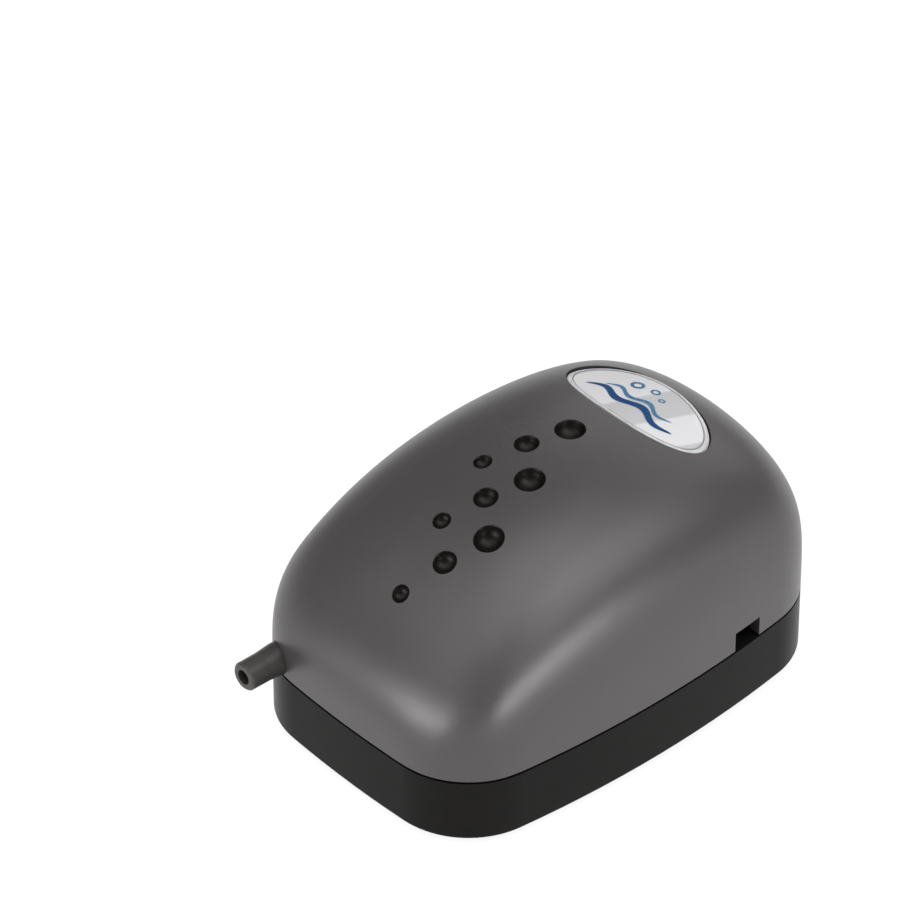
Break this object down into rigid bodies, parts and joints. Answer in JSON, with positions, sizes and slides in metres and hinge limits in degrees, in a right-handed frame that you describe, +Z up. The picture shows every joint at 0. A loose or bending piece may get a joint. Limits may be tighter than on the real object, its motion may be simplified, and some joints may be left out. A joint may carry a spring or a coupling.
{
  "type": "aquarium air pump",
  "caption": "Small domed air pump for a fish tank: an electromagnet swings an arm that works a rubber diaphragm and flap valves inside a plastic housing.",
  "frame": {"origin": "centre of the outer box on the plane the feet stand on", "axes": "+Z up; +Y along the housing from the outlet end to the badge end; +X across the housing, towards the side with the cord inlet"},
  "size_m": [0.0642, 0.0986, 0.0519],
  "materials": {
    "cover_plastic": "satin, fine grain",
    "base_plastic": "matt, fine grain",
    "nozzle_plastic": "satin",
    "badge_metal": "polished",
    "foot_rubber": "matt",
    "screw_steel": "satin",
    "felt": "fibrous",
    "pump_plastic": "satin",
    "valve_rubber": "smooth",
    "washer_plastic": "smooth",
    "arm_plastic": "satin",
    "ferrite": "dull",
    "core_steel": "laminated",
    "bobbin_plastic": "smooth",
    "copper_wire": "enamelled copper wire",
    "tape": "film",
    "strap_steel": "zinc plated",
    "cutout_body": "ceramic",
    "lead_insulation": "smooth",
    "soft_tube": "smooth"
  },
  "bodies": {
    "housing": {"upper_cover": "cover_plastic", "lower_base": "base_plastic", "outlet_nozzle": "nozzle_plastic", "badge_plate": "badge_metal", "rubber_feet": "foot_rubber", "case_screws": "screw_steel", "filter_cover": "base_plastic", "filter_felt": "felt", "valve_box": "pump_plastic", "valve_gasket": "valve_rubber", "valve_plate": "pump_plastic", "pump_chamber": "pump_plastic", "diaphragm": "valve_rubber", "diaphragm_clamp": "pump_plastic", "chamber_screws": "screw_steel", "pivot_pin": "screw_steel", "pivot_bracket": "pump_plastic", "bracket_screws": "screw_steel", "core_laminations": "core_steel", "coil_bobbin": "bobbin_plastic", "coil_winding": "copper_wire", "winding_tape": "tape", "core_strap": "strap_steel", "strap_screws": "screw_steel", "thermal_cutout": "cutout_body", "coil_leads": "lead_insulation", "cord_clamp": "pump_plastic", "clamp_screws": "screw_steel", "outlet_tube": "soft_tube"},
    "arm": {"vibrating_arm": "arm_plastic", "magnet_yoke": "screw_steel", "arm_magnets": "ferrite", "diaphragm_screw": "screw_steel", "diaphragm_nut": "screw_steel", "diaphragm_washers": "washer_plastic"},
    "inlet_valve": {"inlet_flap": "valve_rubber"},
    "outlet_valve": {"outlet_flap": "valve_rubber"}
  },
  "joints": [
    {"name": "arm_swing", "type": "hinge", "parent": "housing", "child": "arm", "pos_m": [0, -0.0277, 0.0228], "axis": [1, 0, 0], "range_deg": [-2, 2], "stiffness_Nm_per_rad": 1.2, "deforming": ["diaphragm"]},
    {"name": "inlet_flap_lift", "type": "hinge", "parent": "housing", "child": "inlet_valve", "pos_m": [0.002, -0.0067, 0.01275], "axis": [0, -1, 0], "range_deg": [0, 12], "stiffness_Nm_per_rad": 0.00002},
    {"name": "outlet_flap_drop", "type": "hinge", "parent": "housing", "child": "outlet_valve", "pos_m": [-0.002, -0.0067, 0.01005], "axis": [0, -1, 0], "range_deg": [0, 12], "stiffness_Nm_per_rad": 0.00002}
  ]
}
